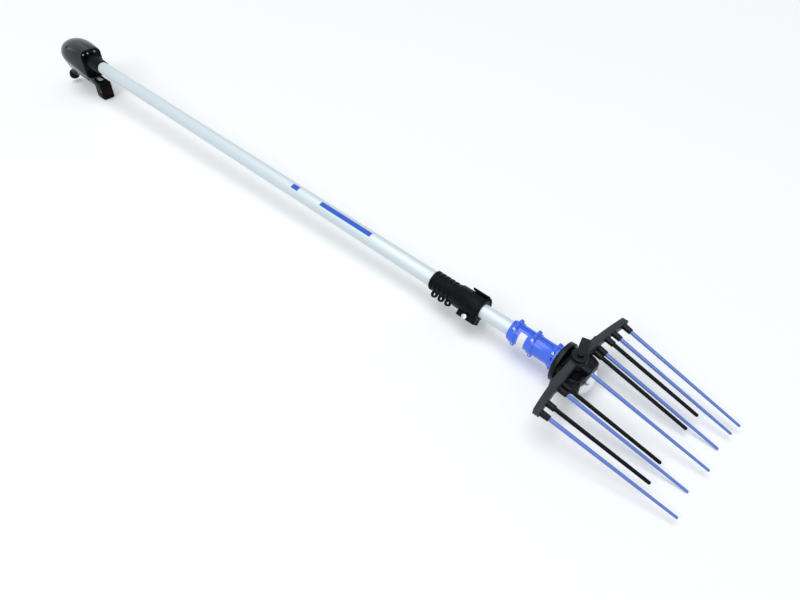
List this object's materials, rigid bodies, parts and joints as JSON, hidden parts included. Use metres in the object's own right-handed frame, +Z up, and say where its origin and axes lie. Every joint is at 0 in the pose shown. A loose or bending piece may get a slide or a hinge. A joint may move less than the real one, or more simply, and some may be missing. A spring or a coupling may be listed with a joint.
{
  "type": "electric olive harvester",
  "caption": "Battery olive harvester: control handle, telescopic aluminium pole with lever clamp, blue motor casing and a swinging comb of long rods.",
  "frame": {"origin": "centre of the bounding box, on the underside of the switch block", "axes": "+X along the pole towards the comb, +Y to the left seen from the handle, +Z up"},
  "size_m": [2.1519, 0.293, 0.155],
  "materials": {
    "aluminium": "satin",
    "handle_black": "satin",
    "panel_black": "gloss",
    "board_green": "matte",
    "lamp_clear": "gloss",
    "steel": "satin",
    "red_plastic": "gloss",
    "clamp_black": "satin",
    "nylon": "matte",
    "blue_plastic": "gloss",
    "head_black": "satin",
    "plate_bright": "satin",
    "bronze": "satin",
    "blue_rod": "satin",
    "black_rod": "satin"
  },
  "bodies": {
    "pole": {"outer_tube": "aluminium", "left_shell": "handle_black", "right_shell": "handle_black", "front_panel": "panel_black", "control_board": "board_green", "status_lamps": "lamp_clear", "nose_collar": "handle_black", "shell_screws": "steel", "switch_block": "handle_black", "switch_bezel": "handle_black", "rocker_pin": "steel", "switch_bracket": "aluminium", "cable_gland": "handle_black", "gland_nut": "handle_black", "clamp_body": "clamp_black", "clamp_liner": "clamp_black", "tension_bolt": "steel", "cam_washer": "steel", "lever_pin": "steel"},
    "lance": {"inner_tube": "aluminium", "guide_bush": "nylon", "casing_near": "blue_plastic", "casing_far": "blue_plastic", "casing_screws": "steel", "motor_can": "steel", "motor_end_bell": "clamp_black", "gearbox": "steel", "head_housing": "head_black", "base_plate": "plate_bright", "plate_screws": "steel", "flange_screws": "head_black", "upper_bush": "bronze", "lower_bush": "bronze"},
    "crank": {"crank_shaft": "steel", "crank_roller": "bronze"},
    "comb": {"swing_shaft": "steel", "drive_fork": "steel", "comb_bar": "head_black", "hub_cap": "head_black", "hub_bolt": "steel", "rod_sockets": "head_black", "long_rod_1": "blue_rod", "long_rod_2": "blue_rod", "long_rod_3": "blue_rod", "long_rod_4": "blue_rod", "long_rod_5": "blue_rod", "long_rod_6": "blue_rod", "short_rod_1": "black_rod", "short_rod_2": "black_rod", "short_rod_3": "black_rod", "short_rod_4": "black_rod"},
    "lever": {"clamp_lever": "clamp_black"},
    "rocker": {"switch_rocker": "red_plastic"}
  },
  "joints": [
    {"name": "telescope", "type": "slide", "parent": "pole", "child": "lance", "axis": [1, 0, 0], "range_m": [0, 1]},
    {"name": "crank", "type": "hinge", "parent": "lance", "child": "crank", "pos_m": [0.78409, 0, 0.108], "axis": [1, 0, 0], "range_deg": [-90, 90]},
    {"name": "comb_swing", "type": "hinge", "parent": "lance", "child": "comb", "pos_m": [0.8081, 0, 0.108], "axis": [0, 0, 1], "range_deg": [-12, 12]},
    {"name": "clamp_lever", "type": "hinge", "parent": "pole", "child": "lever", "pos_m": [0.5711, -0.00466, 0.07324], "axis": [-1, 0, 0], "range_deg": [0, 100]},
    {"name": "rocker_switch", "type": "hinge", "parent": "pole", "child": "rocker", "pos_m": [-0.8834, 0, 0.027], "axis": [0, 1, 0], "range_deg": [-8, 8]}
  ],
  "couplings": [
    {"joint": "comb_swing", "follows": "crank", "ratio": 0.13333}
  ]
}
